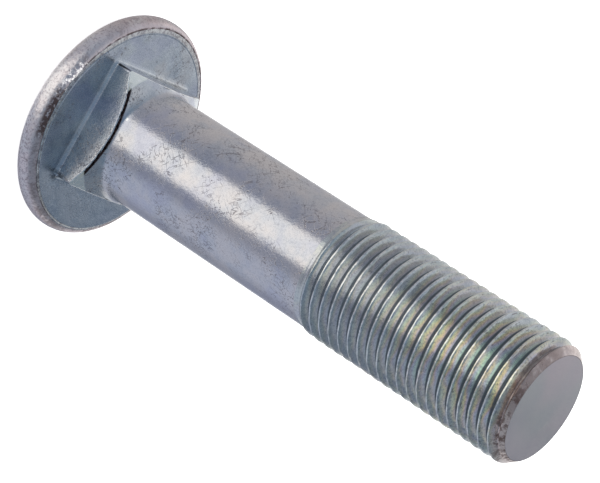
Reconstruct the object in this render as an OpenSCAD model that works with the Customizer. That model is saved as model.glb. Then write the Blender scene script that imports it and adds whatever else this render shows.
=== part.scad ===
// Wheel bolt with a low round head and a square neck, M16 x 1.5, right-hand thread.
// Millimetres. Z = 0 is the seat under the head, and +Z runs to the tip.

/* [Head] */
// Largest diameter of the head
head_d = 30; // [27:0.5:36]
// Height of the head, from its flat top to the seat
head_h = 4.3; // [4:0.1:6]
// Diameter of the flat seat under the head
seat_d = 27.3; // [24:0.1:27.4]
// Drop of the bevel around the seat
seat_bevel_h = 0.5; // [0.2:0.1:0.8]
// Radius of the rounded rim
rim_r = 2.1; // [1.6:0.1:2.3]
// Diameter of the flat in the middle of the crown
crown_flat_d = 16; // [8:1:20]
// Slope of the crown towards the rim, in degrees
crown_angle = 6; // [2:1:8]

/* [Square neck] */
// Width across the flats
neck_af = 15.9; // [15.6:0.1:18]
// Length of the neck, from the seat to where its end meets the shank
neck_l = 4.6; // [4:0.1:8]
// Radius of the four long edges
neck_edge_r = 0.5; // [0.2:0.1:1]
// Slope of the end of the neck, in degrees from flat
neck_end_angle = 27; // [15:1:35]
// Diameter beyond which the four corners are cut back more steeply
neck_corner_d = 19; // [18:0.2:20]
// Slope of the cut corners, in degrees from flat
neck_corner_angle = 33; // [30:1:45]

// Radius of the fillet between the end of the neck and the shank
neck_fillet_r = 1.5; // [0.5:0.1:2]

/* [Shank] */
// Length under the head
bolt_l = 68.5; // [50:0.5:120]
// Diameter of the plain shank, which is the blank that the thread is rolled from
shank_d = 15; // [14.8:0.1:15.4]
// Height of the chamfer at the tip
tip_chamfer = 1.1; // [0.8:0.1:1.6]

/* [Thread] */
// Outer diameter of the thread
thread_d = 15.8; // [15.7:0.05:16]
// Distance from one turn to the next
pitch = 1.5; // [1.25:0.25:2]
// Length of the threaded end, with its run-out and its chamfer
thread_l = 31.4; // [20:0.1:36]
// Length over which the thread rises out of the shank
runout_l = 1.5; // [0.8:0.1:3]

/* [Hidden] */
$fn = 96;

// How far one form reaches into the next, so that they fuse
sink = 1;
rim_c_r = head_d / 2 - rim_r;
crown_r = rim_c_r + rim_r * sin(crown_angle);
crown_rise = (crown_r - crown_flat_d / 2) * tan(crown_angle);
rim_c_z = -(head_h - crown_rise - rim_r * cos(crown_angle));
bevel_r = rim_c_r + sqrt(pow(rim_r, 2) - pow(-seat_bevel_h - rim_c_z, 2));
neck_reach = neck_af;
corner_z = neck_l - (neck_corner_d - shank_d) / 2 * tan(neck_end_angle);
fillet_c_r = shank_d / 2 + neck_fillet_r;
fillet_c_z = neck_l - neck_fillet_r * (tan(neck_end_angle) - 1 / cos(neck_end_angle));
thread_z = bolt_l - thread_l;

// The thread has the 60 degree metric section: a flat crest of an eighth of the pitch, and a depth
// of five eighths of the height of the sharp triangle. Each turn is drawn in this many steps.
turn_steps = 36;
flank_angle = 30;
thread_h = 5 / 8 * pitch / 2 / tan(flank_angle);
flank_w = thread_h * tan(flank_angle);
crest_w = pitch / 8;
root_r = thread_d / 2 - thread_h;
start_r = shank_d / 2 - 0.05;

module head() {
    rotate_extrude() {
        translate([rim_c_r, rim_c_z]) circle(rim_r);
        polygon([
            [0, 0], [seat_d / 2, 0], [bevel_r, -seat_bevel_h], [rim_c_r, rim_c_z],
            [crown_r, rim_c_z - rim_r * cos(crown_angle)], [crown_flat_d / 2, -head_h], [0, -head_h]
        ]);
    }
}

module rounded_square(side, r) {
    square([side, side - 2 * r], center = true);
    square([side - 2 * r, side], center = true);
    for (x = [-1, 1], y = [-1, 1]) translate([x, y] * (side / 2 - r)) circle(r);
}

// The neck ends in a blunt cone, with a steeper one over the four corners, and sweeps up into the shank
module neck_end() {
    rotate_extrude() {
        polygon([
            [0, -sink], [neck_reach, -sink],
            [neck_reach, corner_z - (neck_reach - neck_corner_d / 2) * tan(neck_corner_angle)],
            [neck_corner_d / 2, corner_z], [shank_d / 2, neck_l], [0, neck_l]
        ]);
        difference() {
            polygon([
                [0, 0], [fillet_c_r - neck_fillet_r * sin(neck_end_angle), fillet_c_z - neck_fillet_r * cos(neck_end_angle)],
                [fillet_c_r, fillet_c_z], [0, fillet_c_z]
            ]);
            translate([fillet_c_r, fillet_c_z]) circle(neck_fillet_r);
        }
    }
}

module neck() {
    intersection() {
        translate([0, 0, -sink]) linear_extrude(fillet_c_z + sink) rounded_square(neck_af, neck_edge_r);
        neck_end();
    }
}

module shank() {
    translate([0, 0, -sink]) cylinder(d = shank_d, h = thread_z + sink);
}

// One closed surface of rows of points that climb with the helix, four rows to a turn: the two
// edges of the root and the two of the crest. After one turn a row meets the row four above it.
module helix(turns) {
    n = turn_steps;
    last = 4 * turns - 1;
    row_offset = [0, flank_w, flank_w + crest_w, 2 * flank_w + crest_w];
    function row_z(k, i) = thread_z + pitch * (0.1 + floor(k / 4) + i / n) + row_offset[k % 4];
    function row_r(k) = k % 4 == 1 || k % 4 == 2 ? thread_d / 2 : root_r;
    function risen(r, z) = start_r + (r - start_r) * min(1, (z - thread_z) / runout_l);
    function at(r, i, z) = [r * cos(360 * i / n), r * sin(360 * i / n), z];
    function foot(i) = i % n;
    function top(i) = n + i % n;
    function row(k, i) = 2 * n + (i < n ? i * (last + 1) + k : k + 4);
    polyhedron(
        points = concat(
            [for (i = [0:n - 1]) at(start_r, i, thread_z)],
            [for (i = [0:n - 1]) at(root_r, i, thread_z + pitch * (turns + 1.1))],
            [for (i = [0:n - 1], k = [0:last]) at(risen(row_r(k), row_z(k, i)), i, row_z(k, i))]
        ),
        faces = concat(
            [[for (i = [0:n - 1]) foot(i)], [for (i = [n - 1:-1:0]) top(i)]],
            [for (i = [0:n - 1], k = [0:i < n - 1 ? last - 1 : last - 5]) each [
                [row(k, i), row(k + 1, i), row(k + 1, i + 1)], [row(k, i), row(k + 1, i + 1), row(k, i + 1)]
            ]],
            [for (i = [0:n - 2]) each [
                [foot(i), row(0, i), row(0, i + 1)], [foot(i), row(0, i + 1), foot(i + 1)],
                [row(last, i), top(i), top(i + 1)], [row(last, i), top(i + 1), row(last, i + 1)]
            ]],
            // the seam, where the rows step up by one turn
            [[row(0, n - 1), foot(0), foot(n - 1)], [row(0, n - 1), row(0, 0), foot(0)]],
            [for (k = [0:3]) [row(0, n - 1), row(k + 1, 0), row(k, 0)]],
            [for (k = [last - 4:last - 1]) [row(k, n - 1), row(k + 1, n - 1), row(last, 0)]],
            [[row(last, n - 1), top(0), row(last, 0)], [row(last, n - 1), top(n - 1), top(0)]]
        ),
        convexity = 10
    );
}

// The helix runs past the tip, and the tip's face and chamfer cut it off
module thread() {
    tip_r = thread_d / 2 - tip_chamfer;
    intersection() {
        helix(ceil(thread_l / pitch) + 1);
        rotate_extrude() polygon([
            [0, thread_z - sink], [thread_d, thread_z - sink],
            [thread_d, bolt_l - (thread_d - tip_r)], [tip_r, bolt_l], [0, bolt_l]
        ]);
    }
}

module wheel_bolt() {
    color("silver") {
        head();
        neck();
        shank();
        thread();
    }
}

wheel_bolt();
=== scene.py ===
"""A zinc-plated wheel bolt with a low round head, a square neck and a rolled thread.

Metres throughout. Z = 0 is the seat under the head, and +Z runs along the shank to the tip.
"""

import math

import bpy
import numpy as np
from mathutils import Matrix, Vector


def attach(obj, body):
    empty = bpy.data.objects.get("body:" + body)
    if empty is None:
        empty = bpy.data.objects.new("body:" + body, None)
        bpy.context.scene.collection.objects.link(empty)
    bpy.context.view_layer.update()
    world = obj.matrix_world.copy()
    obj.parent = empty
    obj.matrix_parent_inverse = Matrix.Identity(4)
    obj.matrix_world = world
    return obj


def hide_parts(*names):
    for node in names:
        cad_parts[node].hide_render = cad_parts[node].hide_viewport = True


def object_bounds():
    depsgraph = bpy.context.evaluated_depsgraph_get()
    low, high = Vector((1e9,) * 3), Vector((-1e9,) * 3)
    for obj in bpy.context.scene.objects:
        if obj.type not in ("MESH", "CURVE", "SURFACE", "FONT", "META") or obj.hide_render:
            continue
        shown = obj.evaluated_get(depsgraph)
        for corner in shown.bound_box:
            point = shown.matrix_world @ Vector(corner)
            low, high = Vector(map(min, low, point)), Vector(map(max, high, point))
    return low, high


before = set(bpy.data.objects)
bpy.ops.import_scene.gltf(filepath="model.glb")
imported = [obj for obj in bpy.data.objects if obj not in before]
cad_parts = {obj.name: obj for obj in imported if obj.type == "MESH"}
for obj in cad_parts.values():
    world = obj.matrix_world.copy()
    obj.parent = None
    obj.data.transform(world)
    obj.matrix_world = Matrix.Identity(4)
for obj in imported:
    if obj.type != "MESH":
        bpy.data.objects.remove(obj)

bl_info = {
    "name": "Square-neck wheel bolt",
    "version": (1, 0, 0),
    "blender": (4, 5, 0),
    "location": "View3D > Sidebar > Wheel bolt",
    "description": "Forges a zinc-plated wheel bolt around its CAD frame and lights it",
    "category": "Object",
}

CAD_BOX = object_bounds()
CAD_NODE = "wheel_bolt"
PIECE = "bolt_steel"
MM = 0.001
TOUCH = 0.001 * MM  # places nearer than this are the same
COLUMNS = 192  # corners of every round section
STUB_END = 6.6 * MM  # the forged stub that the shank is drawn from

# the head's rim, above and below its widest line
WIDEST_Z = -1.674 * MM
BROW_RADIUS = 13.9 * MM
BROW_HEIGHT = 1.52 * MM
BROW_TURN = 82  # degrees, up to the seat's bevel
RIM_LEAN = 0.7  # how far the brow leans to -X, as a share of the seat's shift to +X
RIM_FINISH = 13.97 * MM  # the rim's finish starts here
RIM_FINISH_Z = -0.3 * MM  # and covers all that is lower than this

# the neck's end
CONE_REACH = 1.55 * MM  # how far past the flats the cone runs, towards the corners
CONE_SLOPE = 0.5
CORNER_SLOPE = 0.6
LIP, FOLD, SHORE = 0.13 * MM, 0.21 * MM, 0.42 * MM  # insets of the open fold from its flat
FOLD_DEPTH = 0.34 * MM
FOLD_STEP = 0.45 * MM
FOLD_STEPS = 15

# the thread's profile, which is rounded where its faces meet
CREST_HALF = 0.08 * MM
CREST_ROUND = 0.05 * MM
ROOT_ROUND = 0.085 * MM
CREST_WEAR = 0.06 * MM
CHAMFER_ROUND = 0.10 * MM
RUN_OUT = 1.35  # turns in which the thread rises from the shank
RINGS = 19  # rings of corners in each turn
CHAMFER_RINGS = 18
CHAMFER_BAND = 1.4  # chamfers from the tip to where its own rings start


# ---------------------------------------------------------------- settings


def length(name, description, default_mm):
    return bpy.props.FloatProperty(
        name=name,
        description=description,
        default=default_mm * MM,
        min=0.0,
        precision=4,
        subtype="DISTANCE",
        unit="LENGTH",
    )


def colour(name, description, default):
    return bpy.props.FloatVectorProperty(
        name=name,
        description=description,
        default=default,
        min=0.0,
        max=1.0,
        size=3,
        subtype="COLOR",
    )


class BoltSizes(bpy.types.PropertyGroup):
    head_radius: length("Head radius", "Outside radius of the round head", 14.98)
    head_height: length("Head height", "From the seat to the crown's flat", 4.3)
    crown_flat: length("Crown flat", "Radius of the flat on the crown", 8.0)
    seat_radius: length("Seat radius", "Radius of the flat seat", 13.5)
    seat_groove: length("Seat groove", "Depth of the fine groove round the seat", 0.12)
    seat_shift: length("Seat shift", "How far the seat lies off the head's centre", 0.22)
    rim_round: length("Rim rounding", "Radius of the head's rounded rim", 2.1)
    neck_flats: length("Neck flats", "Width of the square neck across its flats", 15.9)
    neck_length: length("Neck length", "From the seat to where the shank comes free", 4.6)
    neck_edge: length("Neck edge", "Rounding of the neck's four long edges", 0.5)
    neck_fillet: length("Neck fillet", "Fillet between the neck and the seat", 0.6)
    shank_fillet: length("Shank fillet", "Fillet between the neck's end and the shank", 1.5)
    shank_radius: length("Shank radius", "Radius of the plain shank", 7.5)
    bolt_length: length("Bolt length", "From the seat to the tip", 68.5)
    thread_radius: length("Thread radius", "Outside radius of the thread", 7.9)
    thread_length: length("Thread length", "From the run-out to the tip", 31.4)
    thread_pitch: length("Pitch", "Rise of the thread in one turn", 1.5)
    thread_depth: length("Thread depth", "From the crest to the root", 0.97)
    tip_chamfer: length("Tip chamfer", "Height of the chamfer at the tip", 1.1)


class BoltColours(bpy.types.PropertyGroup):
    zinc: colour("Zinc", "The plating's own colour", (0.62, 0.64, 0.67))
    zinc_warm: colour("Warm zinc", "Clouds in the plating", (0.70, 0.68, 0.68))
    zinc_dark: colour("Dull zinc", "Dull patches in the plating", (0.40, 0.42, 0.46))
    zinc_blue: colour("Blue zinc", "The plating on the seat and the neck", (0.57, 0.63, 0.67))
    smudge: colour("Smudge", "Dark smudges on the seat and the neck", (0.30, 0.35, 0.42))
    wipe: colour("Wipe", "Pale wipes on the seat and the neck", (0.82, 0.85, 0.85))
    flush_warm: colour("Warm flush", "Warm patches along the shank", (0.74, 0.70, 0.66))
    flush_cool: colour("Cool flush", "Violet patches along the shank", (0.58, 0.58, 0.69))
    pit: colour("Pits", "The bottom of fine pits", (0.12, 0.09, 0.10))
    # stain is real stains, and also the painted shade beside the thread's crests
    stain: colour("Stain and shade", "Brown stains on bare edges, and painted shade beside the thread's crests", (0.13, 0.08, 0.07))
    # seat_shade is painted shade on one side of the seat
    seat_shade: colour("Seat shade", "Painted shade on one side of the seat", (0.33, 0.40, 0.48))
    bevel_cream: colour("Cream bevel", "Speckles on the seat's bevel", (0.92, 0.88, 0.80))
    bevel_dark: colour("Dark bevel", "Between the bevel's speckles", (0.42, 0.36, 0.34))
    # the two fold colours are painted shade in the neck's open fold
    fold_shade_black: colour("Black fold shade", "Painted shade in the neck's open fold", (0.010, 0.008, 0.010))
    fold_shade_brown: colour("Brown fold shade", "Paler painted shade in the fold", (0.09, 0.06, 0.06))
    # corner_highlight is a painted highlight on the neck's cut-back corners
    corner_highlight: colour("Corner highlight", "The neck's cut-back corners", (0.97, 0.99, 0.92))
    # lip_highlight is a painted highlight on the flats' rounded-over ends
    lip_highlight: colour("Lip highlight", "The rounded-over ends of the flats", (1.0, 1.0, 0.98))
    # glint is painted glints, small near-white spots by the fold
    glint: colour("Glint", "Painted glints by the fold", (1.0, 1.0, 0.97))
    # dark_edge is a painted dark reflection on one long edge, and darker patches at another
    # corner's foot
    dark_edge: colour("Dark edge", "Painted dark reflection on one long edge", (0.02, 0.02, 0.025))
    tip_grey: colour("Grey tip", "The sawn tip", (0.56, 0.54, 0.51))
    tip_mauve: colour("Mauve tip", "Clouds on the sawn tip", (0.63, 0.54, 0.53))
    tip_pale: colour("Pale tip", "The sawn tip's paler side", (0.71, 0.62, 0.60))
    rim: colour("Rim", "The hammered rim's plating", (0.76, 0.68, 0.67))
    rim_brown: colour("Brown rim", "Where the rim meets the seat's bevel", (0.78, 0.66, 0.66))
    rim_dark: colour("Dull rim", "Grains in the rim's plating", (0.36, 0.31, 0.33))
    rim_cloud: colour("Rim cloud", "Mauve clouds on the rim", (0.45, 0.37, 0.38))
    # rim_highlight is a painted highlight on the rim's front
    rim_highlight: colour("Rim highlight", "Painted highlight on the rim's front", (0.93, 0.91, 0.90))
    # chip_and_glint is white chips, and in front painted glints
    chip_and_glint: colour("Chip and glint", "White chips in the rim's plating, with painted glints in front", (0.97, 0.97, 0.97))
    thread_first: colour("First turns", "The thread's plating by the shank", (0.66, 0.68, 0.68))
    zinc_thread: colour("Thread zinc", "The thread's plating by the tip", (0.82, 0.80, 0.76))
    # thread_shade_side is painted shade on one side of the thread
    thread_shade_side: colour("Shaded turns", "Painted shade on one side of the thread", (0.46, 0.46, 0.46))
    gold: colour("Gold film", "Golden film near the tip", (1.00, 0.96, 0.70))
    # root is painted shade in the thread's roots
    root: colour("Root shade", "Painted shade in the thread's roots", (0.10, 0.12, 0.14))
    # crest_highlight is a painted highlight along the crests
    crest_highlight: colour("Crest highlight", "Painted highlight, broken, along the crests", (0.94, 0.94, 0.89))
    chamfer: colour("Chamfer", "Thin plating round the tip", (0.66, 0.56, 0.53))
    scorch: colour("Scorch", "Brown wash on the chamfer", (0.24, 0.18, 0.17))


PANEL_OPERATORS = []


def panel_button(cls):
    """Adds an operator to those that main() registers and the panel lists, in this order."""
    PANEL_OPERATORS.append(cls)
    return cls


# ---------------------------------------------------------------- modelling


def piece():
    return bpy.data.objects[PIECE]


def only(obj):
    """Leaves object mode's selection on this object, made active."""
    if bpy.context.object and bpy.context.object.mode != "OBJECT":
        bpy.ops.object.mode_set(mode="OBJECT")
    bpy.ops.object.select_all(action="DESELECT")
    obj.select_set(True)
    bpy.context.view_layer.objects.active = obj


def edit(obj, kind="FACE"):
    """Enters edit mode on one object with nothing selected."""
    only(obj)
    bpy.ops.object.mode_set(mode="EDIT")
    bpy.ops.mesh.select_mode(type=kind)
    bpy.ops.mesh.select_all(action="DESELECT")


def leave():
    bpy.ops.object.mode_set(mode="OBJECT")


def pick(obj, kind, test):
    """Enters edit mode with those faces or edges selected that pass the test.

    A face's test gets its middle and normal, and an edge's its two ends.
    """
    edit(obj, kind)
    leave()
    mesh = obj.data
    count = 0
    if kind == "FACE":
        for face in mesh.polygons:
            face.select = bool(test(face.center, face.normal))
            count += face.select
    else:
        for edge in mesh.edges:
            a, b = (mesh.vertices[i].co for i in edge.vertices)
            edge.select = bool(test(a, b))
            count += edge.select
    if not count:
        raise RuntimeError(f"nothing to select on {obj.name}")
    bpy.ops.object.mode_set(mode="EDIT")
    bpy.ops.mesh.select_mode(type=kind)


def arc(centre_r, centre_z, radius, start, end, steps):
    """(radius, height) pairs along an arc of an outline, in degrees from outwards to +Z."""
    pairs = []
    for i in range(steps + 1):
        angle = math.radians(start + (end - start) * i / steps)
        pairs.append((centre_r + radius * math.cos(angle), centre_z + radius * math.sin(angle)))
    return pairs


def add_disc(name, radius, height):
    bpy.ops.object.select_all(action="DESELECT")
    bpy.ops.mesh.primitive_circle_add(
        vertices=COLUMNS, radius=radius, fill_type="NGON", location=(0, 0, height)
    )
    obj = bpy.context.object
    obj.name = name
    bpy.ops.object.transform_apply(location=True, rotation=True, scale=True)
    return obj


def grow(outline):
    """Extrudes the selected cap along a turned outline of (radius, height, shift along X)."""
    for (r0, z0, x0), (r1, z1, x1) in zip(outline, outline[1:]):
        bpy.ops.mesh.extrude_region_move(TRANSFORM_OT_translate={"value": (x1 - x0, 0, z1 - z0)})
        bpy.ops.transform.resize(value=(r1 / r0, r1 / r0, 1), center_override=(x1, 0, z1))


def turned(name, rings):
    """A closed turned solid, grown from a disc at its first ring to a cap at its last."""
    obj = add_disc(name, rings[0][0], rings[0][1])
    edit(obj)
    bpy.ops.mesh.select_all(action="SELECT")
    grow(rings)
    bpy.ops.mesh.select_all(action="SELECT")
    bpy.ops.mesh.normals_make_consistent(inside=False)
    leave()
    return obj


def combine(target, tool, operation):
    """Applies a Boolean modifier with the tool, which is deleted."""
    only(target)
    modifier = target.modifiers.new("Combine", "BOOLEAN")
    modifier.operation = operation
    modifier.solver = "EXACT"
    modifier.object = tool
    bpy.ops.object.modifier_apply(modifier=modifier.name)
    mesh = tool.data
    bpy.data.objects.remove(tool)
    bpy.data.meshes.remove(mesh)


@panel_button
class BOLT_OT_head(bpy.types.Operator):
    """Forge the round head with its crown, rounded rim, bevel and seat"""

    bl_idname = "bolt.head"
    bl_label = "Head"

    def execute(self, context):
        s = context.scene.bolt_sizes
        crown_z = -s.head_height
        outline = [
            (s.crown_flat * 0.5, crown_z, 0),
            (s.crown_flat - 0.2 * MM, crown_z, 0),
            (s.crown_flat, crown_z + 0.01 * MM, 0),
            (s.crown_flat + 0.3 * MM, crown_z + 0.04 * MM, 0),
        ]
        cheek = arc(s.head_radius - s.rim_round, WIDEST_Z, s.rim_round, -84, 0, 14)
        outline += [(r, z, 0) for r, z in cheek]
        # above its widest line the rim is rounded less; it leans to -X and the seat lies to +X,
        # so the bevel between them is uneven
        lean = -s.seat_shift * RIM_LEAN
        brow_width = s.head_radius - BROW_RADIUS
        steps = 14
        for i in range(1, steps + 1):
            angle = math.radians(BROW_TURN * i / steps)
            edge_r = BROW_RADIUS + brow_width * math.cos(angle)
            edge_z = WIDEST_Z + BROW_HEIGHT * math.sin(angle)
            outline.append((edge_r, edge_z, lean * (i / steps) ** 3))
        outline += [
            (edge_r - 0.05 * MM, edge_z - 0.06 * MM, lean),
            (edge_r - 0.10 * MM, edge_z - 0.06 * MM, lean),
            (edge_r - 0.15 * MM, edge_z + 0.02 * MM, lean),
            (s.seat_radius + 0.16 * MM, -0.07 * MM, s.seat_shift),
            (s.seat_radius + 0.10 * MM, -0.08 * MM, s.seat_shift),
            (s.seat_radius + 0.05 * MM, -s.seat_groove, s.seat_shift),
            (s.seat_radius, -s.seat_groove, s.seat_shift),
            (s.seat_radius - 0.05 * MM, -0.02 * MM, s.seat_shift),
            (s.seat_radius - 0.12 * MM, 0, s.seat_shift),
            (s.seat_radius - 1.2 * MM, 0, s.seat_shift),
        ]
        turned(PIECE, outline)
        return {"FINISHED"}


def neck_bar(s):
    """A square bar from inside the head to past the stub's end, its four long edges rounded."""
    sunk, top = 1.0 * MM, STUB_END + 1.0 * MM
    bpy.ops.object.select_all(action="DESELECT")
    bpy.ops.mesh.primitive_cube_add(size=1.0, location=(0, 0, (top - sunk) / 2))
    bar = bpy.context.object
    bar.name = "neck_blank"
    bar.scale = (s.neck_flats, s.neck_flats, top + sunk)
    bpy.ops.object.transform_apply(location=True, rotation=True, scale=True)
    pick(bar, "EDGE", lambda a, b: abs(a.z - b.z) > top / 2)
    bpy.ops.mesh.bevel(offset=s.neck_edge, offset_type="WIDTH", segments=6)
    leave()
    return bar


def neck_turning(s):
    """What a lathe leaves of the bar: cut-back corners, a blunt cone and a sweep to the shank."""
    cone_r = s.neck_flats / 2 + CONE_REACH
    cone_z = s.neck_length - CONE_SLOPE * (cone_r - s.shank_radius)
    corner_r = s.neck_flats
    corner_z = cone_z - CORNER_SLOPE * (corner_r - cone_r)
    # the sweep touches both the shank and the cone
    sweep = s.shank_fillet
    sweep_z = s.neck_length - CONE_SLOPE * sweep + sweep * math.hypot(1.0, CONE_SLOPE)
    lowest = math.degrees(math.atan2(-1.0, -CONE_SLOPE))
    outline = [
        (4 * MM, -2 * MM),
        (corner_r, -2 * MM),
        (corner_r, corner_z),
        (cone_r + 0.16 * MM, cone_z - 0.14 * MM),
        (cone_r + 0.04 * MM, cone_z - 0.04 * MM),
        (cone_r - 0.1 * MM, cone_z + 0.05 * MM),
        *arc(s.shank_radius + sweep, sweep_z, sweep, lowest, -180, 8),
        (s.shank_radius, STUB_END),
    ]
    return turned("neck_turning", [(r, z, 0) for r, z in outline])


def open_folds(neck, half):
    """Opens a fold inside the end of the front and back flats, and raises their lip beside it."""
    for side in (-1, 1):
        for inset in (LIP, FOLD, SHORE):
            pick(neck, "FACE", lambda c, n: n.z > 0.3 and c.y * side > 4 * MM)
            bpy.ops.mesh.bisect(plane_co=(0, side * (half - inset), 0), plane_no=(0, side, 0))
            leave()
        for step in range(-FOLD_STEPS, FOLD_STEPS + 1):
            pick(neck, "FACE", lambda c, n: n.z > 0.3 and c.y * side > half - SHORE - TOUCH)
            bpy.ops.mesh.bisect(plane_co=(step * FOLD_STEP, 0, 0), plane_no=(1, 0, 0))
            leave()
    for vertex in neck.data.vertices:
        x, y, z = vertex.co
        inset = half - abs(y)
        if z < 2.5 * MM or inset > SHORE - TOUCH:
            continue
        # both fade out towards the neck's corners
        share = 1 - min(1.0, max(0.0, (abs(x) - 5.9 * MM) / (0.9 * MM)))
        if abs(inset - FOLD) < TOUCH:
            vertex.co.z -= FOLD_DEPTH * share
        elif inset < LIP + TOUCH:
            outwards = min(1.0, abs(x) / (3.5 * MM))
            vertex.co.z += (0.05 + 0.09 * outwards) * MM * share


def round_bowed_ends(neck, half):
    """Rounds over the bowed edges where the four flats meet the cone."""

    def bowed(a, b):
        for axis in (0, 1):
            on_flat = all(abs(abs(end[axis]) - half) < TOUCH for end in (a, b))
            if on_flat and min(a.z, b.z) > 1.5 * MM and a[axis] * b[axis] > 0:
                return abs(a.z - b.z) < 4 * abs(a[1 - axis] - b[1 - axis])
        return False

    pick(neck, "EDGE", bowed)
    bpy.ops.mesh.bevel(offset=0.1 * MM, offset_type="OFFSET", segments=3)
    leave()


@panel_button
class BOLT_OT_neck(bpy.types.Operator):
    """Forge the square neck, turn its end to a cone and raise it from the seat"""

    bl_idname = "bolt.neck"
    bl_label = "Neck"

    def execute(self, context):
        s = context.scene.bolt_sizes
        half = s.neck_flats / 2
        neck = neck_bar(s)
        combine(neck, neck_turning(s), "INTERSECT")
        open_folds(neck, half)
        round_bowed_ends(neck, half)
        combine(piece(), neck, "UNION")

        # fillet where the neck rises from the seat
        def foot(a, b):
            near = all(max(abs(end.x), abs(end.y)) < half + TOUCH for end in (a, b))
            return near and max(abs(a.z), abs(b.z)) < TOUCH

        pick(piece(), "EDGE", foot)
        bpy.ops.mesh.bevel(offset=s.neck_fillet, offset_type="OFFSET", segments=4)
        leave()
        return {"FINISHED"}


def thread_start(s):
    return s.bolt_length - s.thread_length


def band_end(s):
    return s.bolt_length - s.tip_chamfer * CHAMFER_BAND


@panel_button
class BOLT_OT_shank(bpy.types.Operator):
    """Draw the shank out from its stub to the tip's flat"""

    bl_idname = "bolt.shank"
    bl_label = "Shank"

    def execute(self, context):
        s = context.scene.bolt_sizes
        start = thread_start(s)
        r = s.shank_radius
        pick(piece(), "FACE", lambda c, n: n.z > 0.9 and abs(c.z - STUB_END) < TOUCH)
        grow([(r, z, 0) for z in (STUB_END, start * 0.5, start - 0.2 * MM, start)])
        # the length to be threaded, in bands of about one pitch each
        banded = s.thread_length - s.tip_chamfer * CHAMFER_BAND
        turns = math.floor(banded / s.thread_pitch)
        z = start
        for _ in range(turns):
            grow([(r, z, 0), (r, z + banded / turns, 0)])
            z += banded / turns
        rise = s.bolt_length - z
        grow([(r, z + rise * i / CHAMFER_RINGS, 0) for i in range(CHAMFER_RINGS + 1)])
        tip_r = s.thread_radius - s.tip_chamfer
        grow([(radius, s.bolt_length, 0) for radius in (r, tip_r, tip_r - 0.1 * MM, tip_r * 0.5)])
        leave()
        return {"FINISHED"}


def soft_max(a, b, width):
    """The larger of two values, rounded over where they cross."""
    return 0.5 * (a + b + np.sqrt((a - b) ** 2 + width**2))


def soft_min(a, b, width):
    return -soft_max(-a, -b, width)


def thread_profile(s, angle, z):
    """The thread's radius at these angles and heights: flanks at 60 degrees, softened and worn."""
    turn = (z - thread_start(s)) / s.thread_pitch - angle / (2 * math.pi)
    away = np.abs(turn - np.round(turn)) * s.thread_pitch  # from the crest's middle
    fall = math.tan(math.radians(60)) * (away - CREST_HALF)
    fall = soft_max(fall, 0.0, CREST_ROUND)
    fall = soft_min(fall, s.thread_depth, ROOT_ROUND)
    thread = s.thread_radius + 0.01 * MM - fall
    # the crests are worn unevenly
    wave = np.sin(5 * angle + z / (1.9 * MM)) * np.sin(2 * angle - z / (3.1 * MM) + 1)
    worn = s.thread_radius - CREST_WEAR * (0.5 + 0.5 * wave)
    return soft_min(thread, worn, 0.03 * MM)


@panel_button
class BOLT_OT_thread(bpy.types.Operator):
    """Roll the right-hand thread, with its run-out and its chamfered last turn"""

    bl_idname = "bolt.thread"
    bl_label = "Thread"

    def execute(self, context):
        s = context.scene.bolt_sizes
        start = thread_start(s)

        # each band of the threaded length is cut into fine rings
        def upright(a, b):
            inside = min(a.z, b.z) > start - TOUCH and max(a.z, b.z) < band_end(s) + TOUCH
            return inside and abs(a.z - b.z) > 0.5 * s.thread_pitch

        bolt = piece()
        pick(bolt, "EDGE", upright)
        bpy.ops.mesh.subdivide(number_cuts=RINGS - 1, quadcorner="INNERVERT")
        leave()

        # the rolls push every point out to the crests or in to the roots
        mesh = bolt.data
        co = np.empty(len(mesh.vertices) * 3, np.float64)
        mesh.vertices.foreach_get("co", co)
        co = co.reshape(-1, 3)
        radius = np.hypot(co[:, 0], co[:, 1])
        angle = np.arctan2(co[:, 1], co[:, 0])
        z = co[:, 2]
        rolled = (z > start - 0.1 * TOUCH) & (radius > s.shank_radius * 0.99)
        run = np.clip((z - start) / (RUN_OUT * s.thread_pitch), 0, 1)
        run = run * run * (3 - 2 * run)
        wanted = s.shank_radius + (thread_profile(s, angle, z) - s.shank_radius) * run
        # the chamfer takes the last turns down at the tip
        cone = s.thread_radius - s.tip_chamfer + (s.bolt_length - z)
        wanted = soft_min(wanted, cone, CHAMFER_ROUND)
        grown = np.where(rolled, wanted / np.maximum(radius, 1e-9), 1.0)
        co[:, :2] *= grown[:, None]
        mesh.vertices.foreach_set("co", co.ravel())
        mesh.update()
        return {"FINISHED"}


# ---------------------------------------------------------------- materials


def new_material(name):
    material = bpy.data.materials.new(name)
    material.use_nodes = True
    material.node_tree.nodes.clear()
    return material


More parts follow.
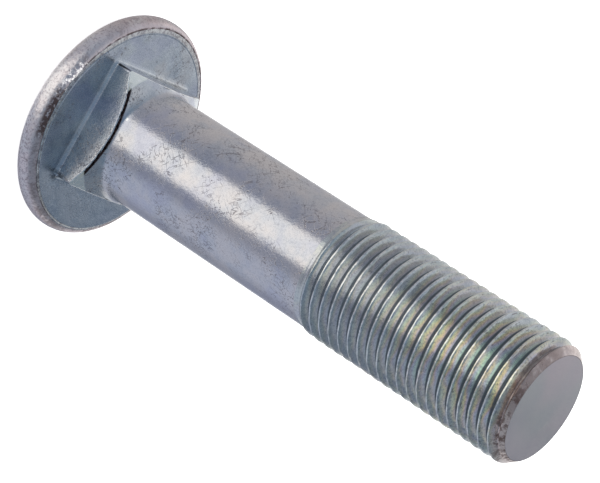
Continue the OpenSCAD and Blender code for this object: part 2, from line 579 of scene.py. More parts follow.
class Graph:
    """Adds nodes to a tree and links them, in one line each."""

    def __init__(self, tree):
        self.tree = tree

    def node(self, kind, inputs=None, **settings):
        node = self.tree.nodes.new(kind)
        for key, value in settings.items():
            setattr(node, key, value)
        for key, value in (inputs or {}).items():
            self.feed(node.inputs[key], value)
        return node

    def feed(self, socket, value):
        if isinstance(value, bpy.types.NodeSocket):
            self.tree.links.new(value, socket)
        else:
            socket.default_value = value

    def math(self, operation, a, b=0.0, c=0.0, clamp=False):
        node = self.node("ShaderNodeMath", {0: a, 1: b, 2: c}, operation=operation)
        node.use_clamp = clamp
        return node.outputs[0]

    def times(self, *values):
        """The product of the values."""
        product = values[0]
        for value in values[1:]:
            product = self.math("MULTIPLY", product, value)
        return product

    def most(self, *values):
        """The largest of the values."""
        largest = values[0]
        for value in values[1:]:
            largest = self.math("MAXIMUM", largest, value)
        return largest

    def level(self, mask, span, base):
        """base + mask times span."""
        return self.math("MULTIPLY_ADD", mask, span, base)

    def vector(self, operation, a, b):
        node = self.node("ShaderNodeVectorMath", {0: a, 1: b}, operation=operation)
        return node.outputs["Value" if operation == "DISTANCE" else "Vector"]

    def mix(self, factor, a, b, blend="MIX"):
        node = self.node("ShaderNodeMix", data_type="RGBA", blend_type=blend)
        self.feed(node.inputs[0], factor)
        self.feed(node.inputs[6], rgb(a))
        self.feed(node.inputs[7], rgb(b))
        return node.outputs[2]

    def ramp(self, value, low, high):
        """0 at low, 1 at high, smooth between."""
        node = self.node(
            "ShaderNodeMapRange", {0: value, 1: low, 2: high}, interpolation_type="SMOOTHSTEP"
        )
        return node.outputs[0]

    def ramp_mm(self, value, low, high):
        return self.ramp(value, low * MM, high * MM)

    def band_mm(self, value, start, full, fading, end):
        """1 from full to fading, and 0 up to start and from end on."""
        return self.times(self.ramp_mm(value, start, full), self.ramp_mm(value, end, fading))

    def noise(self, vector, scale, detail=3.0, roughness=0.55):
        node = self.node(
            "ShaderNodeTexNoise",
            {"Vector": vector, "Scale": scale, "Detail": detail, "Roughness": roughness},
        )
        return node.outputs[0]


def rgb(tint):
    """A colour as nodes take it; a socket stays as it is."""
    return tint if isinstance(tint, bpy.types.NodeSocket) else (*tint, 1.0)


FLOAT, VECTOR, COLOUR = "NodeSocketFloat", "NodeSocketVector", "NodeSocketColor"


def new_group(name, outputs, kind=FLOAT, vectors=(), **inputs):
    """A shader node group with these outputs, vector inputs and number inputs with defaults."""
    tree = bpy.data.node_groups.new(name, "ShaderNodeTree")
    for label in vectors:
        tree.interface.new_socket(label, in_out="INPUT", socket_type=VECTOR)
    for label, default in inputs.items():
        label = label.replace("_", " ")
        socket = tree.interface.new_socket(label, in_out="INPUT", socket_type=FLOAT)
        socket.default_value = default
    for label in outputs:
        tree.interface.new_socket(label, in_out="OUTPUT", socket_type=kind)
    g = Graph(tree)
    return g, g.node("NodeGroupInput").outputs, g.node("NodeGroupOutput").inputs


def group_pits():
    """Fine pits of many sizes, some drawn out along the bolt."""
    g, given, out = new_group(
        "Pits", ["Mask", "Height"], vectors=["Vector"], Scale=1000.0, Share=0.2, Stretch=1.0
    )
    squeeze = g.math("DIVIDE", 1.0, given["Stretch"])
    stretched = g.node("ShaderNodeCombineXYZ", {0: 1.0, 1: 1.0, 2: squeeze})
    wobble = g.times(g.noise(given["Vector"], 900.0, 2.0), 0.6 * MM)
    place = g.vector("MULTIPLY", given["Vector"], stretched.outputs[0])
    place = g.vector("ADD", place, wobble)
    cells = g.node("ShaderNodeTexVoronoi", {"Vector": place, "Scale": given["Scale"]})
    lot = g.node("ShaderNodeSeparateColor", {0: cells.outputs["Color"]})
    chosen = g.math("LESS_THAN", lot.outputs[0], given["Share"])
    reach = g.level(lot.outputs[1], 0.28, 0.08)
    depth = g.ramp(g.math("DIVIDE", cells.outputs["Distance"], reach), 1.0, 0.35)
    mask = g.times(depth, chosen)
    g.feed(out["Mask"], mask)
    g.feed(out["Height"], g.math("SUBTRACT", 1.0, mask))
    return g.tree


def group_scratches():
    """Short, thin scratches that run every way but come in patches."""
    g, given, out = new_group(
        "Scratches", ["Mask"], vectors=["Vector", "Turn"], Scale=500.0, Width=0.012, Cover=0.5
    )
    turned_way = g.node(
        "ShaderNodeMapping", {"Vector": given["Vector"], "Rotation": given["Turn"]}
    )
    drawn = g.vector("MULTIPLY", turned_way.outputs[0], (1.0, 1.0, 0.13))
    field = g.noise(drawn, given["Scale"], 2.0, 0.5)
    line = g.math("ABSOLUTE", g.math("SUBTRACT", field, 0.5))
    line = g.ramp(g.math("DIVIDE", line, given["Width"]), 1.0, 0.3)
    patches = g.noise(given["Vector"], g.times(given["Scale"], 1.7), 2.0)
    floor = g.math("SUBTRACT", 0.78, g.times(given["Cover"], 0.4))
    cut = g.node("ShaderNodeMapRange", {0: patches, 1: floor, 2: g.math("ADD", floor, 0.05)})
    g.feed(out["Mask"], g.times(line, cut.outputs[0]))
    return g.tree


def group_mottle():
    """Cloudy tone with a finer grain on top, both centred on one half."""
    outputs = ["Tone", "Cloud", "Grain"]
    g, given, out = new_group(
        "Mottle", outputs, vectors=["Vector"], Scale=150.0, Grain=2500.0, Grain_share=0.4
    )
    cloud = g.noise(given["Vector"], given["Scale"], 4.0, 0.6)
    grain = g.noise(given["Vector"], given["Grain"], 2.0, 0.6)
    shares = {0: given["Grain share"], 2: cloud, 3: grain}
    g.feed(out["Tone"], g.node("ShaderNodeMix", shares, data_type="FLOAT").outputs[0])
    g.feed(out["Cloud"], cloud)
    g.feed(out["Grain"], grain)
    return g.tree


FILM_STOPS = (
    (0.30, (0.78, 1.00, 0.92)),
    (0.40, (0.78, 0.90, 1.00)),
    (0.46, (0.84, 0.84, 1.00)),
    (0.51, (1.00, 0.87, 0.80)),
    (0.56, (1.00, 0.96, 0.66)),
    (0.63, (0.84, 1.00, 0.82)),
    (0.72, (0.80, 0.94, 1.00)),
)


def group_film():
    """The thin rainbow film of the plating's seal, as a faint tint."""
    g, given, out = new_group("Rainbow film", ["Tint"], kind=COLOUR, Field=0.5, Strength=0.3)
    bands = g.node("ShaderNodeValToRGB", {0: given["Field"]})
    ramp = bands.color_ramp
    ramp.interpolation = "EASE"
    while len(ramp.elements) < len(FILM_STOPS):
        ramp.elements.new(0.5)
    for element, (place, tint) in zip(ramp.elements, FILM_STOPS):
        element.position = place
        element.color = rgb(tint)
    g.feed(out["Tint"], g.mix(given["Strength"], (1, 1, 1), bands.outputs[0]))
    return g.tree


GROUP_MAKERS = {
    "Pits": group_pits,
    "Scratches": group_scratches,
    "Mottle": group_mottle,
    "Rainbow film": group_film,
}


def use(g, name, **values):
    """Places a shared node group, which is built once, with its own values."""
    tree = bpy.data.node_groups.get(name) or GROUP_MAKERS[name]()
    node = g.node("ShaderNodeGroup", node_tree=tree)
    for key, value in values.items():
        g.feed(node.inputs[key.replace("_", " ")], value)
    return node.outputs


class Plating(Graph):
    """A zinc plating: coats of colour, laid one over another by each point's place on the bolt."""

    def __init__(self, name, colours, **mottle):
        self.material = new_material(name)
        super().__init__(self.material.node_tree)
        self.colours = colours
        self.place = self.node("ShaderNodeTexCoord").outputs["Object"]
        self.x, self.y, self.z = self.node("ShaderNodeSeparateXYZ", {0: self.place}).outputs
        self.radius = self.radius_from(self.x)
        self.shader = self.node("ShaderNodeBsdfPrincipled", {"Metallic": 1.0})
        self.node("ShaderNodeOutputMaterial", {0: self.shader.outputs[0]})
        self.mottle = self.effect("Mottle", **mottle)
        self.tint = None

    def effect(self, name, **values):
        """The outputs of a shared node group at this point's place."""
        return use(self, name, Vector=self.place, **values)

    def radius_from(self, x):
        return self.math("SQRT", self.level(x, x, self.times(self.y, self.y)))

    def patches(self, scale, low, high, detail=3.0, roughness=0.55):
        """0 where this noise is at low and 1 where it is at high."""
        return self.ramp(self.noise(self.place, scale, detail, roughness), low, high)

    def towards(self, degrees, start, full):
        """1 within full degrees of this way round the axis, 0 beyond start degrees."""
        way = math.radians(degrees)
        reach = self.level(self.x, math.cos(way), self.times(self.y, math.sin(way)))
        start, full = (math.cos(math.radians(a)) for a in (start, full))
        return self.ramp(self.math("DIVIDE", reach, self.radius), start, full)

    def coat(self, colour, *masks):
        """Lays a colour over the tint so far, as far as the product of the masks says."""
        self.tint = self.mix(self.times(*masks), self.tint, colour)

    def finish(self, rough, rougher, heights, metallic=1.0):
        """Feeds the shader and returns the material.

        rough is for low and high mottle, rougher has masks and what they add, and heights has
        bumps as (height, strength, depth in millimetres).
        """
        spread = {0: self.mottle["Tone"], 1: 0.3, 2: 0.7, 3: rough[0], 4: rough[1]}
        total = self.node("ShaderNodeMapRange", spread).outputs[0]
        for mask, more in rougher:
            total = self.math("ADD", total, self.times(mask, more), clamp=True)
        normal = None
        for height, strength, depth in heights:
            shape = {"Height": height, "Strength": strength, "Distance": depth * MM}
            bump = self.node("ShaderNodeBump", shape)
            if normal is not None:
                self.feed(bump.inputs["Normal"], normal)
            normal = bump.outputs[0]
        self.feed(self.shader.inputs["Base Color"], self.tint)
        self.feed(self.shader.inputs["Roughness"], total)
        self.feed(self.shader.inputs["Metallic"], metallic)
        self.feed(self.shader.inputs["Normal"], normal)
        return self.material


def lay_zinc(g, calm):
    """Faintly clouded zinc with dull patches and a fine dark speckle."""
    c = g.colours
    g.tint = g.mix(g.ramp(g.mottle["Cloud"], 0.35, 0.65), c.zinc, c.zinc_warm)
    g.coat(c.zinc_dark, g.ramp(g.mottle["Tone"], 0.50, 0.34), 0.5)
    g.coat(c.zinc_dark, g.patches(4200.0, 0.50, 0.38, detail=2.0, roughness=0.6), 0.3, calm)


def scuffed(g, calm):
    """A mask of fine pits, clusters of coarser ones and crossing scratches."""
    pits = g.effect("Pits", Scale=2900.0, Share=0.34, Stretch=1.5)
    coarse = g.effect("Pits", Scale=1250.0, Share=0.20, Stretch=1.3)
    lines = g.effect("Scratches", Turn=(0.4, 0.75, 0.2), Scale=900.0, Width=0.014, Cover=0.95)
    cross = g.effect("Scratches", Turn=(-0.5, -0.6, 0.9), Scale=1500.0, Width=0.020, Cover=0.95)
    clusters = g.patches(300.0, 0.44, 0.60)
    rubbed = g.patches(150.0, 0.47, 0.58, roughness=0.6)
    scratches = g.most(g.times(lines["Mask"], 0.9), g.times(cross["Mask"], 0.8))
    marks = g.most(
        g.times(pits["Mask"], g.level(clusters, 0.8, 0.15)),
        g.times(coarse["Mask"], clusters, 0.9),
        g.times(scratches, g.level(rubbed, 0.85, 0.12)),
    )
    return g.times(marks, calm)


def lay_flushes(g, headward):
    """The neck and the under-face are bluer than the shank, which has warm and violet patches."""
    c = g.colours
    g.coat(c.zinc_blue, headward, 0.6)
    smudge = g.noise(g.place, 420.0, 5.0, 0.72)
    g.coat(c.smudge, headward, g.ramp(smudge, 0.50, 0.36), 0.5)
    g.coat(c.wipe, headward, g.ramp(smudge, 0.52, 0.66), 0.5)
    flush = g.noise(g.place, 130.0, 3.0, 0.6)
    g.coat(c.flush_warm, g.ramp(flush, 0.50, 0.62), 0.35)
    g.coat(c.flush_cool, g.ramp(flush, 0.50, 0.38), 0.4)


def dull_tip(g, tip_face):
    """The sawn tip is duller and mauve, paler on one side, with a stained brim."""
    c = g.colours
    sawn = g.mix(g.patches(110.0, 0.35, 0.65, detail=1.0), c.tip_grey, c.tip_mauve)
    pale_side = g.ramp_mm(g.level(g.y, -0.22, g.x), 1.5, 6.5)
    g.coat(g.mix(pale_side, sawn, c.tip_pale), tip_face, 0.9)
    g.coat(c.stain, tip_face, g.ramp_mm(g.radius, 6.70, 6.78), 0.8)


def shade_folds(g, half):
    """Painted shade, black and brown, sits in the open folds; its mask is returned."""
    c = g.colours
    along = g.math("ABSOLUTE", g.x)
    ragged = g.times(g.math("SUBTRACT", g.noise(g.place, 1500.0, 2.0), 0.5), 0.12 * MM)
    inset = g.math("ADD", g.math("SUBTRACT", half, g.math("ABSOLUTE", g.y)), ragged)
    narrowed = g.level(g.ramp_mm(along, 4.2, 0.6), 0.24 * MM, inset)
    fold = g.times(
        g.ramp_mm(inset, 0.08, 0.14),
        g.ramp_mm(narrowed, 0.68, 0.54),
        g.ramp_mm(along, 6.9, 6.3),
        g.band_mm(g.z, 2.3, 2.6, 4.8, 5.0),
    )
    brown = g.patches(2600.0, 0.42, 0.58, detail=2.0)
    # painted shade: near-black and brown in the open fold
    g.coat(g.mix(brown, c.fold_shade_black, c.fold_shade_brown), fold)
    return fold


def shade_seat(g):
    """The seat gets painted shade on one side, and its bevel is speckled cream."""
    c = g.colours
    outside_neck = g.ramp_mm(g.radius, 7.5, 9.5)
    # painted shade: one side of the seat, outside the neck, darkened
    g.coat(c.seat_shade, g.towards(-8, 75, 25), g.ramp_mm(g.z, 0.8, 0.1), outside_neck, 0.62)
    cream = g.patches(2300.0, 0.42, 0.56, roughness=0.7)
    speckled = g.mix(cream, c.bevel_dark, c.bevel_cream)
    g.coat(speckled, g.ramp_mm(g.z, -0.01, -0.05), g.ramp_mm(g.radius, 13.4, 13.6), 0.65)


def highlight_neck(g, half):
    """Painted highlights, near white: the corners' cut-back ends, strongest at the front corners,
    and the flats' rounded-over ends.
    """
    c = g.colours
    normal = g.node("ShaderNodeNewGeometry").outputs["True Normal"]
    upward = g.node("ShaderNodeSeparateXYZ", {0: normal}).outputs[2]
    # painted highlight on the corners' cut-back ends, stronger at the front
    g.coat(
        c.corner_highlight,
        g.ramp_mm(g.radius, 9.45, 9.6),
        g.ramp(upward, 0.3, 0.4),
        g.band_mm(g.z, 2.0, 2.3, 3.6, 3.7),
        g.level(g.ramp_mm(g.y, 1.0, -1.0), 0.7, 0.15),
    )
    on_flats = [
        g.ramp(g.math("ABSOLUTE", across), half - 0.13 * MM, half - 0.08 * MM)
        for across in (g.x, g.y)
    ]
    # painted highlight along the flats' rounded-over ends, broken by noise
    g.coat(
        c.lip_highlight,
        g.most(*on_flats),
        g.ramp(upward, 0.12, 0.25),
        g.ramp_mm(g.z, 1.2, 1.6),
        g.patches(900.0, 0.38, 0.55, roughness=0.6),
        0.6,
    )


def darken_corners(g):
    """A painted dark reflection runs down one long edge of the square, and the foot of another
    corner darkens in patches towards the seat.
    """
    taper = g.times(g.ramp_mm(g.z, 0.7, 3.1), 0.20 * MM)
    dark_edge = g.times(
        g.ramp_mm(g.math("ADD", g.x, taper), -7.64, -7.72),
        g.ramp_mm(g.math("ADD", g.y, taper), -7.56, -7.66),
        g.band_mm(g.z, 0.35, 0.6, 2.4, 3.1),
    )
    foot = g.times(
        g.band_mm(g.x, 7.0, 7.6, 8.2, 9.0),
        g.band_mm(g.y, -9.0, -8.2, -7.6, -7.0),
        g.patches(1500.0, 0.40, 0.55, roughness=0.7),
        g.ramp_mm(g.z, 2.4, 0.8),
    )
    # painted dark reflection on the long edge, and darker patches at the other corner's foot
    g.coat(g.colours.dark_edge, g.most(dark_edge, g.times(foot, 0.7)), 0.9)


# painted glints, as spots by the fold
GLINTS = (  # place and reach, in millimetres
    ((-2.6, -7.14, 4.99), 0.42),
    ((-6.3, -7.5, 3.45), 0.5),
    ((-7.3, -6.5, 3.4), 0.4),
)


def paint_glints(g):
    """Painted glints: small near-white spots by the fold."""
    ragged = g.times(g.noise(g.place, 2500.0, 2.0), 0.25 * MM)
    for spot, reach in GLINTS:
        gap = g.vector("DISTANCE", g.place, tuple(v * MM for v in spot))
        g.coat(g.colours.glint, g.ramp_mm(g.math("ADD", gap, ragged), reach, 0.55 * reach))


def make_smooth_zinc(colours, sizes):
    """Drawn and forged faces: bright, faintly clouded, with pits and fine scratches."""
    g = Plating("zinc_bright", colours, Scale=260.0, Grain=3600.0, Grain_share=0.45)
    half = sizes.neck_flats / 2
    tip_face = g.ramp_mm(g.z, 68.3, 68.45)
    calm = g.level(tip_face, -0.85, 1.0)
    headward = g.ramp_mm(g.z, 8.0, 2.0)
    lay_zinc(g, calm)
    marks = scuffed(g, calm)
    lay_flushes(g, headward)
    g.coat(colours.pit, marks, 0.62)
    dull_tip(g, tip_face)
    fold = shade_folds(g, half)
    shade_seat(g)
    highlight_neck(g, half)
    darken_corners(g)
    paint_glints(g)
    return g.finish(
        rough=(0.12, 0.24),
        rougher=[(marks, 0.25), (headward, 0.09), (fold, 0.6)],
        heights=[
            (g.times(g.mottle["Cloud"], calm), 0.5, 0.09),
            (g.times(g.noise(g.place, 820.0), calm), 0.45, 0.05),
            (g.times(g.mottle["Grain"], calm), 0.30, 0.04),
            (g.math("SUBTRACT", 1.0, marks), 0.45, 0.03),
        ],
    )


def lay_rim(g, outer):
    """Warm, speckled plating, mauve on one side, with a painted highlight in front."""
    c = g.colours
    g.tint = g.mix(g.ramp(g.mottle["Cloud"], 0.38, 0.62), c.rim, c.zinc_warm)
    clouds = g.patches(230.0, 0.42, 0.56, roughness=0.6)
    g.coat(c.rim_cloud, g.towards(-142, 36, 14), clouds, outer, 0.6)
    # painted highlight on the rim's front
    front_highlight = g.times(g.towards(-106, 48, 14), outer)
    g.coat(c.rim_highlight, front_highlight, 0.55)
    speckle = g.patches(3600.0, 0.50, 0.40, detail=2.0, roughness=0.7)
    g.coat(c.rim_dark, speckle, g.level(front_highlight, -0.25, 0.75))


def make_rim_zinc(colours, sizes):
    """The hammered rim and crown: warmer, speckled, with brown stains where the plating is thin,
    and a painted highlight and painted glints in front.
    """
    g = Plating("zinc_rim", colours, Scale=420.0, Grain=3000.0, Grain_share=0.5)
    pits = g.effect("Pits", Scale=2700.0, Share=0.5)
    coarse = g.effect("Pits", Scale=1300.0, Share=0.25)
    sparks = g.effect("Pits", Scale=3300.0, Share=0.35)
    outer = g.ramp_mm(g.radius, 12.2, 13.4)
    lay_rim(g, outer)
    g.coat(colours.stain, g.most(pits["Mask"], coarse["Mask"]), 0.5)

    # brown stains gather along the edge of the seat's bevel
    edge = g.times(g.band_mm(g.radius, 13.75, 14.0, 14.6, 14.95), g.ramp_mm(g.z, -1.5, -0.7))
    thin = g.times(g.patches(190.0, 0.49, 0.57, detail=5.0, roughness=0.75), 0.45)
    burnt = g.most(thin, g.towards(-86, 17, 9))
    stain = g.times(edge, burnt, g.patches(2200.0, 0.34, 0.52, roughness=0.7))
    g.coat(colours.rim_brown, edge, 0.6)
    g.coat(colours.stain, stain, 0.9)

    # a thin dark seam where the rim meets the seat's bevel
    seam = g.ramp_mm(g.radius_from(g.math("ADD", g.x, RIM_LEAN * sizes.seat_shift)), 14.16, 14.08)
    broken = g.patches(1300.0, 0.38, 0.54, roughness=0.7)
    g.coat(colours.stain, seam, g.ramp_mm(g.z, -0.5, -0.3), broken, 0.8)

    # white chips, which aren't bare metal; in front they gather, with a patch on the edge, as
    # painted glints
    chips_and_glints = g.times(
        sparks["Mask"],
        g.level(g.towards(-108, 16, 8), 0.9, 0.15),
        g.ramp_mm(g.radius, 14.95, 14.5),
        outer,
    )
    glint_patch = g.times(g.towards(-106, 13, 6), edge, g.patches(1500.0, 0.48, 0.60, roughness=0.7))
    chips_and_glints = g.most(chips_and_glints, glint_patch)
    g.coat(colours.chip_and_glint, chips_and_glints, 0.9)
    return g.finish(
        rough=(0.26, 0.42),
        rougher=[(stain, 0.3)],
        heights=[
            (g.mottle["Cloud"], 0.6, 0.12),
            (g.noise(g.place, 1100.0, 3.0, 0.6), 0.8, 0.08),
            (g.mottle["Grain"], 0.5, 0.06),
            (pits["Height"], 0.6, 0.04),
        ],
        metallic=g.level(chips_and_glints, -0.9, 1.0),
    )


def lay_film(g, start, climb, tipward, lit_side):
    """Plating that pales towards the tip, with painted shade on one side, under a rainbow film that
    is golden where it is lit.
    """
    c = g.colours
    field = g.level(climb, 0.30, g.times(g.noise(g.place, 190.0, 2.0, 0.5), 0.8))
    film = use(
        g,
        "Rainbow film",
        Field=g.math("SUBTRACT", field, 0.03),
        Strength=g.level(tipward, g.level(lit_side, 0.42, 0.18), 0.22),
    )
    golden = g.times(
        lit_side,
        g.ramp(climb, 0.25, 0.6),
        g.ramp(g.z, start + 17 * MM, start + 28 * MM),
        g.patches(260.0, 0.40, 0.56, detail=2.0, roughness=0.5),
        0.65,
    )
    plating = g.mix(tipward, c.thread_first, c.zinc_thread)
    # painted shade: one side of the thread darker
    plating = g.mix(g.times(g.towards(-188, 38, 14), 0.45), plating, c.thread_shade_side)
    g.tint = g.mix(1.0, plating, g.mix(golden, film["Tint"], c.gold), "MULTIPLY")
    g.coat(c.zinc_dark, g.ramp(g.mottle["Tone"], 0.5, 0.36), 0.4)
    g.coat(c.zinc_dark, g.patches(3800.0, 0.50, 0.38, detail=2.0, roughness=0.65), 0.5)


def make_thread_zinc(colours, sizes):
    """The rolled thread: painted shade in the roots and beside the crests, a painted highlight
    along the crests, a rainbow film, and stains round the tip.
    """
    g = Plating("zinc_thread", colours, Scale=240.0, Grain=3000.0, Grain_share=0.5)
    start, end = thread_start(sizes), sizes.bolt_length
    root_radius = sizes.thread_radius - sizes.thread_depth
    # 0 in the roots and 1 on the crests
    climb = g.math("DIVIDE", g.math("SUBTRACT", g.radius, root_radius), sizes.thread_depth)
    tipward = g.ramp(g.z, start + 6 * MM, start + 24 * MM)
    lit_side = g.towards(-97, 62, 15)
    lay_film(g, start, climb, tipward, lit_side)

    # painted shade in the thread's roots
    root_shade = g.times(
        g.ramp(climb, 0.19, 0.03),
        g.ramp(g.z, start + 0.6 * MM, start + 1.8 * MM),
        g.ramp(g.z, end - 0.9 * MM, end - 1.3 * MM),
    )
    g.coat(colours.root, root_shade, g.level(tipward, 0.12, 0.78))
    # painted highlight along the crests, broken by noise and stronger on the lit side
    worn = g.patches(1500.0, 0.42, 0.55, roughness=0.65)
    g.coat(colours.crest_highlight, g.ramp(climb, 0.90, 0.97), worn, g.level(lit_side, 0.7, 0.2))
    # painted shade: a broken dark line beside the crest's edge, in the stain colour
    line = g.times(g.ramp(climb, 0.70, 0.80), g.ramp(climb, 0.90, 0.82))
    broken = g.patches(1300.0, 0.52, 0.62, roughness=0.65)
    g.coat(colours.stain, line, broken, g.level(tipward, 0.35, 0.25))
    pits = g.effect("Pits", Scale=2700.0, Share=0.28)
    g.coat(colours.pit, pits["Mask"], 0.4)

    # thin plating round the chamfer, scorched on one side and stained on another
    tip = g.ramp(g.z, end - 1.7 * MM, end - 0.9 * MM)
    g.coat(colours.chamfer, tip, 0.9)
    scorched = g.patches(520.0, 0.30, 0.48, roughness=0.6)
    g.coat(colours.scorch, g.towards(-118, 62, 22), scorched, tip, 0.72)
    patches = g.patches(900.0, 0.45, 0.60, detail=5.0, roughness=0.75)
    stain = g.times(tip, patches, g.level(g.towards(-52.3, 63.2, 36.7), 0.7, 0.25))
    g.coat(colours.stain, stain, 0.9)
    return g.finish(
        rough=(0.15, 0.28),
        rougher=[(root_shade, 0.3), (stain, 0.2)],
        heights=[
            (g.mottle["Cloud"], 0.4, 0.08),
            (g.mottle["Grain"], 0.25, 0.05),
            (g.noise(g.place, 700.0, 3.0, 0.6), 0.5, 0.06),
            (pits["Height"], 0.35, 0.03),
        ],
        metallic=g.level(tip, -0.20, 1.0),
    )


@panel_button
class BOLT_OT_finish(bpy.types.Operator):
    """Smooth the bolt, plate it with zinc and fix it to the frame"""

    bl_idname = "bolt.finish"
    bl_label = "Plating"

    def execute(self, context):
        bolt = piece()
        only(bolt)
        bpy.ops.object.shade_smooth_by_angle(angle=math.radians(33))
        weighted = bolt.modifiers.new("Even shading", "WEIGHTED_NORMAL")
        weighted.keep_sharp = True
        weighted.mode = "FACE_AREA_WITH_ANGLE"
        bpy.ops.object.modifier_apply(modifier=weighted.name)
        sizes, colours = context.scene.bolt_sizes, context.scene.bolt_colours
        bolt.data.materials.clear()
        for make in (make_smooth_zinc, make_rim_zinc, make_thread_zinc):
            bolt.data.materials.append(make(colours, sizes))
        smooth, rim, thread = range(3)
        for face in bolt.data.polygons:
            c = face.center
            beyond_bevel = math.hypot(c.x, c.y) > RIM_FINISH or c.z < RIM_FINISH_Z
            if c.z < -0.01 * MM and beyond_bevel:
                face.material_index = rim
            elif c.z > thread_start(sizes) and face.normal.z < 0.999:
                face.material_index = thread
            else:
                face.material_index = smooth
        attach(bolt, "root")
        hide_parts(CAD_NODE)
        return {"FINISHED"}


# ---------------------------------------------------------------- stage


CAMERA_PLACE = (-32.354, -248.782, 177.534)  # mm
CAMERA_AXES = (
    (-0.48875444, 0.48914871, 0.72239368),  # right
    (-0.86560227, -0.16856569, -0.47150643),  # up
    (-0.10886597, -0.85575647, 0.50579547),  # back
)
CAMERA_LENS = 146.94  # mm on a 36 mm sensor
ROOM_FRONT = 7.3  # degrees that the room's front is turned from -Y

# the light that the metal mirrors
WALL = (0.33, 0.35, 0.43)
COOL_WALL = (0.50, 0.54, 0.66)
NEUTRAL_WALL = (0.52, 0.51, 0.53)
HIGH_FRONT = (0.20, 0.27, 0.36)
HIGH_COOL_SIDE = (0.18, 0.22, 0.28)
HIGH_PALE_SIDE = (0.58, 0.61, 0.67)
WINDOW = (1.15, 1.13, 1.12)
BACKDROP = (1.25, 1.25, 1.25)
WHITE = (1.0, 1.0, 1.0)


def make_world():
    """A white room, with a soft window in front and dimmer walls for the metal to mirror."""
    world = bpy.data.worlds.new("Studio")
    bpy.context.scene.world = world
    world.use_nodes = True
    world.node_tree.nodes.clear()
    g = Graph(world.node_tree)
    way = g.node("ShaderNodeTexCoord").outputs["Generated"]
    x, y, z = g.node("ShaderNodeSeparateXYZ", {0: way}).outputs
    # degrees round the bolt, 0 towards the front and growing towards -X
    cos, sin = math.cos(math.radians(ROOM_FRONT)), math.sin(math.radians(ROOM_FRONT))
    along = g.level(y, -cos, g.times(x, -sin))
    across = g.level(x, -cos, g.times(y, sin))
    turn = g.times(g.math("ARCTAN2", across, along), 180 / math.pi)
    size = g.math("ABSOLUTE", turn)

    # below the eye the side walls differ: cool on one side, neutral on the other
    cool = g.times(g.ramp(turn, -42, -68), g.ramp(turn, -138, -100))
    below = g.mix(cool, WALL, COOL_WALL)
    below = g.mix(g.ramp(turn, 34, 115), below, NEUTRAL_WALL)
    behind = g.mix(g.ramp(across, -0.07, 0.06), HIGH_COOL_SIDE, HIGH_PALE_SIDE)
    above = g.mix(g.ramp(along, 0.9, -0.5), HIGH_FRONT, behind)
    room = g.mix(g.ramp(z, 0.25, -0.10), above, below)
    window_side = g.ramp(g.math("ABSOLUTE", g.math("SUBTRACT", turn, 2.5)), 33, 22)
    window_top = g.ramp(g.level(g.ramp(turn, -6, 8), -0.30, z), 0.0, -0.18)
    room = g.mix(g.times(window_side, window_top), room, WINDOW)
    backdrop = g.times(g.ramp(size, 157, 170), g.ramp(z, 0.15, -0.05))
    horizon = g.times(g.ramp(size, 110, 135), g.ramp(z, 0.32, 0.18), g.ramp(z, -0.3, -0.12), 0.5)
    room = g.mix(g.most(backdrop, horizon), room, BACKDROP)

    mirror, plain_light, white = (
        g.node("ShaderNodeBackground", {0: tone, 1: strength}).outputs[0]
        for tone, strength in ((room, 1.0), (rgb(WHITE), 0.8), (rgb(WHITE), 1.0))
    )
    path = g.node("ShaderNodeLightPath").outputs
    seen = g.node("ShaderNodeMixShader", {0: path["Is Glossy Ray"], 1: plain_light, 2: mirror})
    rays = {0: path["Is Camera Ray"], 1: seen.outputs[0], 2: white}
    all_rays = g.node("ShaderNodeMixShader", rays)
    g.node("ShaderNodeOutputWorld", {0: all_rays.outputs[0]})


def make_floor(height):
    bpy.ops.object.select_all(action="DESELECT")
    bpy.ops.mesh.primitive_plane_add(size=6.0, location=(0, 0, height))
    floor = bpy.context.object
    floor.name = "floor"
    bpy.ops.object.transform_apply(location=True, rotation=True, scale=True)
    material = new_material("pale_floor")
    g = Graph(material.node_tree)
    place = g.node("ShaderNodeTexCoord").outputs["Object"]
    tone = g.mix(g.noise(place, 900.0, 2.0), (0.86, 0.86, 0.87), (0.90, 0.90, 0.90))
    glow = g.node("ShaderNodeLightPath").outputs["Is Camera Ray"]
    look = {
        "Base Color": tone,
        "Roughness": 0.9,
        "Specular IOR Level": 0.0,
        "Emission Color": rgb(WHITE),
        "Emission Strength": g.times(glow, 0.7),
    }
    base = g.node("ShaderNodeBsdfPrincipled", look)
    g.node("ShaderNodeOutputMaterial", {0: base.outputs[0]})
    floor.data.materials.append(material)
    floor.visible_glossy = False


def add_key():
    """A soft round lamp over one shoulder, which the metal doesn't mirror."""
    bpy.ops.object.select_all(action="DESELECT")
    bpy.ops.object.light_add(type="AREA", location=(-0.15, -0.05, 0.45))
    lamp = bpy.context.object
    lamp.name = "soft_key"
    lamp.data.shape = "DISK"
    lamp.data.size = 0.4
    lamp.data.energy = 1.2
    aim = Vector((0, 0, 0.03)) - lamp.location
    lamp.rotation_euler = aim.to_track_quat("-Z", "Y").to_euler()
    lamp.visible_glossy = False


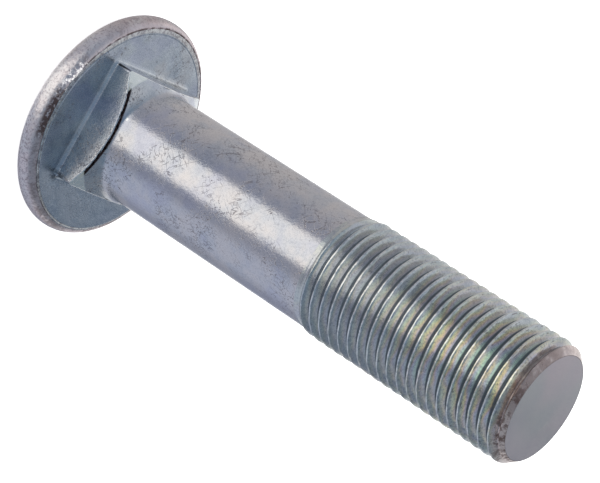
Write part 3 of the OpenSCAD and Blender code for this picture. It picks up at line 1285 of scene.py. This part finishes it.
def add_camera(scene):
    bpy.ops.object.camera_add()
    camera = bpy.context.object
    camera.name = "camera"
    axes = Matrix([Vector(a) for a in CAMERA_AXES]).transposed().to_4x4()
    camera.matrix_world = Matrix.Translation(Vector(CAMERA_PLACE) * MM) @ axes
    camera.data.sensor_fit = "HORIZONTAL"
    camera.data.sensor_width = 36.0
    camera.data.lens = CAMERA_LENS
    camera.data.clip_start = 0.01
    camera.data.clip_end = 20.0
    scene.camera = camera
    scene.view_settings.view_transform = "Standard"


@panel_button
class BOLT_OT_stage(bpy.types.Operator):
    """Lay the floor, hang the lamp and set the camera"""

    bl_idname = "bolt.stage"
    bl_label = "Stage"

    def execute(self, context):
        make_world()
        make_floor(CAD_BOX[0][2])
        add_key()
        add_camera(context.scene)
        return {"FINISHED"}


# ---------------------------------------------------------------- add-on


class BOLT_PT_panel(bpy.types.Panel):
    """The wheel bolt's sizes, colours and steps"""

    bl_label = "Wheel bolt"
    bl_idname = "BOLT_PT_panel"
    bl_space_type = "VIEW_3D"
    bl_region_type = "UI"
    bl_category = "Wheel bolt"

    def draw(self, context):
        layout = self.layout
        for group in (context.scene.bolt_sizes, context.scene.bolt_colours):
            box = layout.box()
            for key in type(group).__annotations__:
                box.prop(group, key)
        for cls in PANEL_OPERATORS:
            layout.operator(cls.bl_idname)


CLASSES = [BoltSizes, BoltColours, *PANEL_OPERATORS, BOLT_PT_panel]


def register():
    for cls in CLASSES:
        bpy.utils.register_class(cls)
    bpy.types.Scene.bolt_sizes = bpy.props.PointerProperty(type=BoltSizes)
    bpy.types.Scene.bolt_colours = bpy.props.PointerProperty(type=BoltColours)


def unregister():
    del bpy.types.Scene.bolt_colours
    del bpy.types.Scene.bolt_sizes
    for cls in reversed(CLASSES):
        bpy.utils.unregister_class(cls)


def main():
    register()
    bpy.ops.bolt.head()
    bpy.ops.bolt.neck()
    bpy.ops.bolt.shank()
    bpy.ops.bolt.thread()
    bpy.ops.bolt.finish()
    bpy.ops.bolt.stage()


if __name__ == "__main__":
    main()
